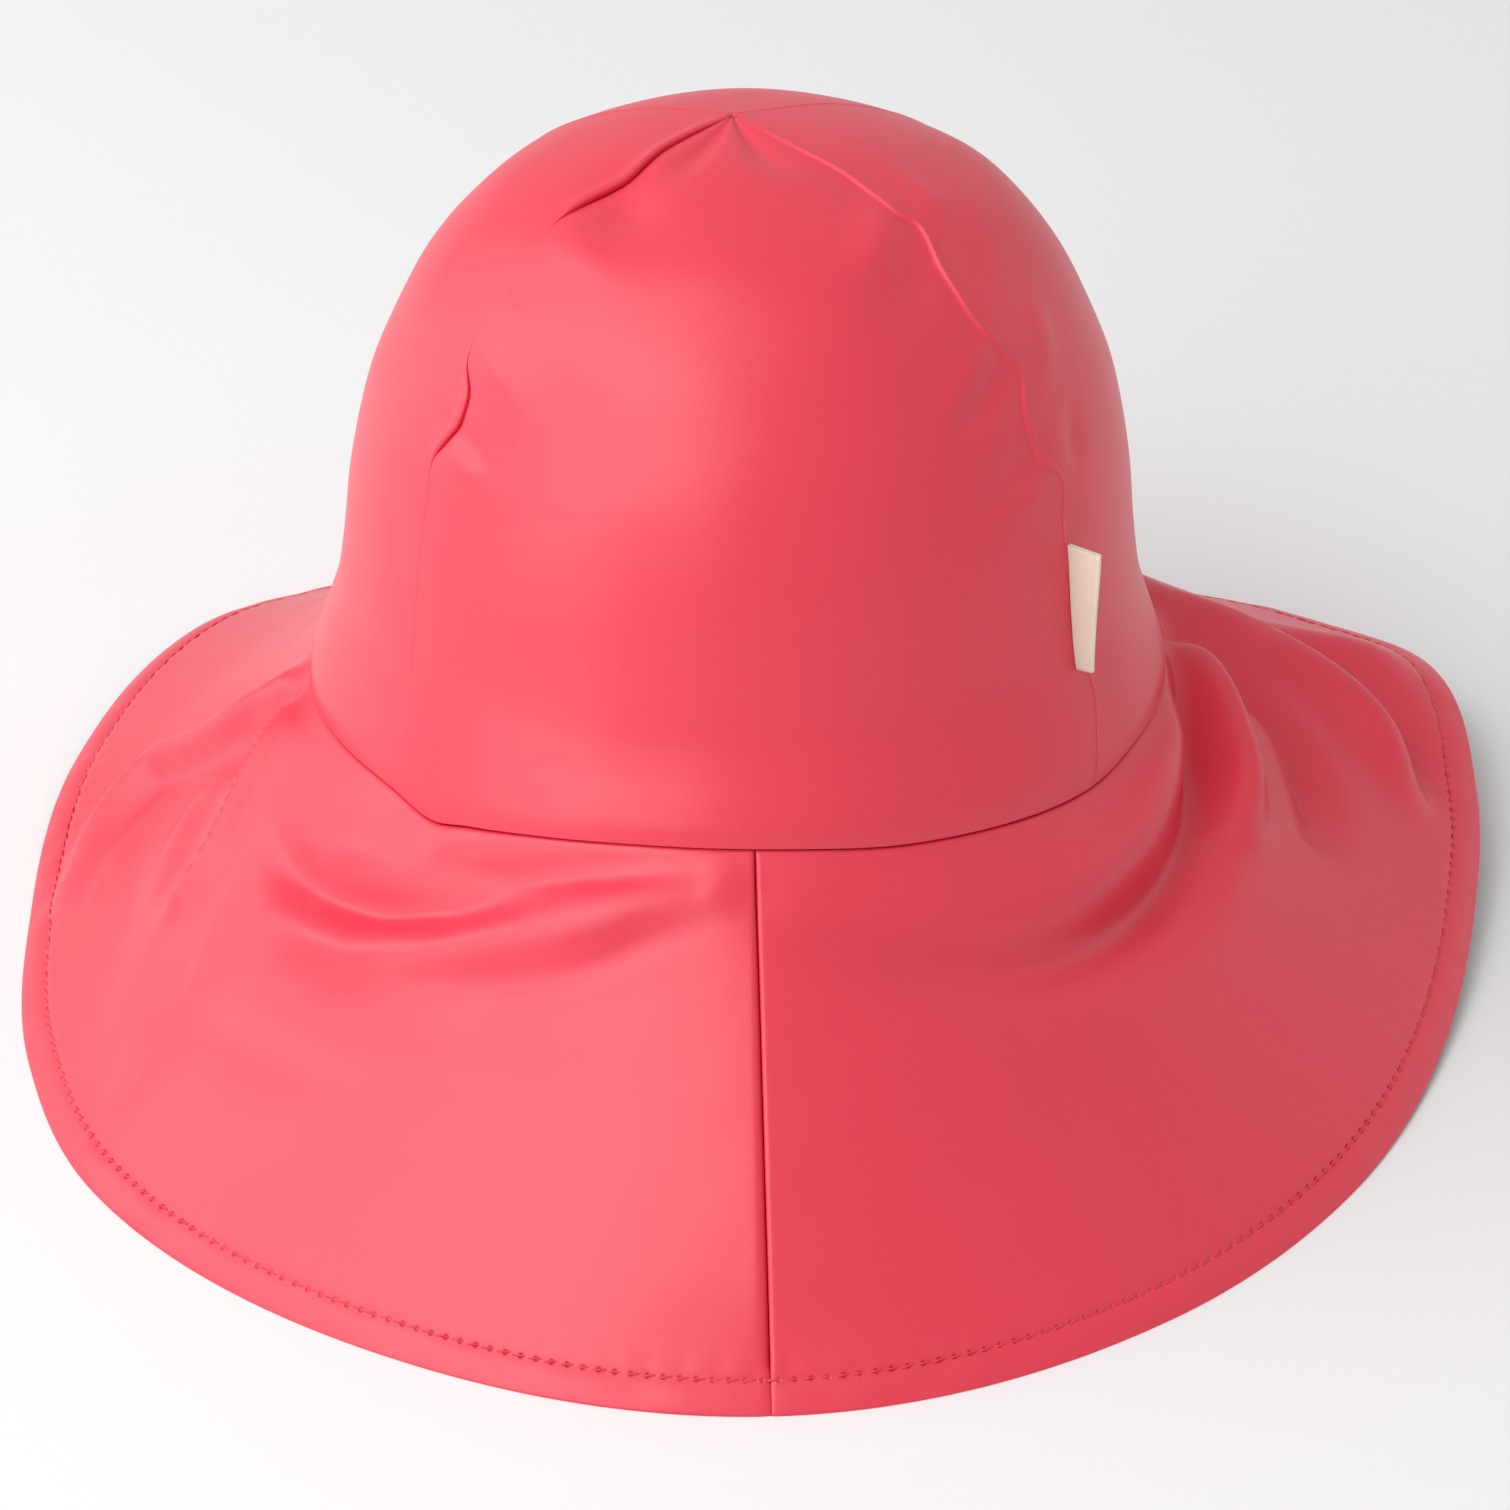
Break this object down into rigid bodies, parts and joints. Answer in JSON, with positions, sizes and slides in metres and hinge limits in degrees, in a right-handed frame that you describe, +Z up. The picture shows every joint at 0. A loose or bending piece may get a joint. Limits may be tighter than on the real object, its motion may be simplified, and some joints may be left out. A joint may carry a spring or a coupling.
{
  "type": "rain hat",
  "caption": "Child's rain hat of coated cloth: a rounded panelled crown and a wide sloping brim that is longest at the back, with a stitched hem.",
  "frame": {"origin": "on the surface that the hat stands on, under the middle of its bounding box", "axes": "+Z up from the brim's hem to the top of the crown, +Y towards the wearer's face side, +X towards the wearer's right"},
  "size_m": [0.2936, 0.3036, 0.1654],
  "materials": {
    "coated_cloth": "satin polyurethane coating on a knitted backing",
    "cream_ribbon": "twill woven ribbon",
    "sewing_thread": "twisted polyester thread"
  },
  "bodies": {
    "root": {"crown_back_panel": "coated_cloth", "crown_right_panel": "coated_cloth", "crown_front_panel": "coated_cloth", "crown_left_panel": "coated_cloth", "brim": "coated_cloth", "side_label": "cream_ribbon"}
  },
  "joints": []
}
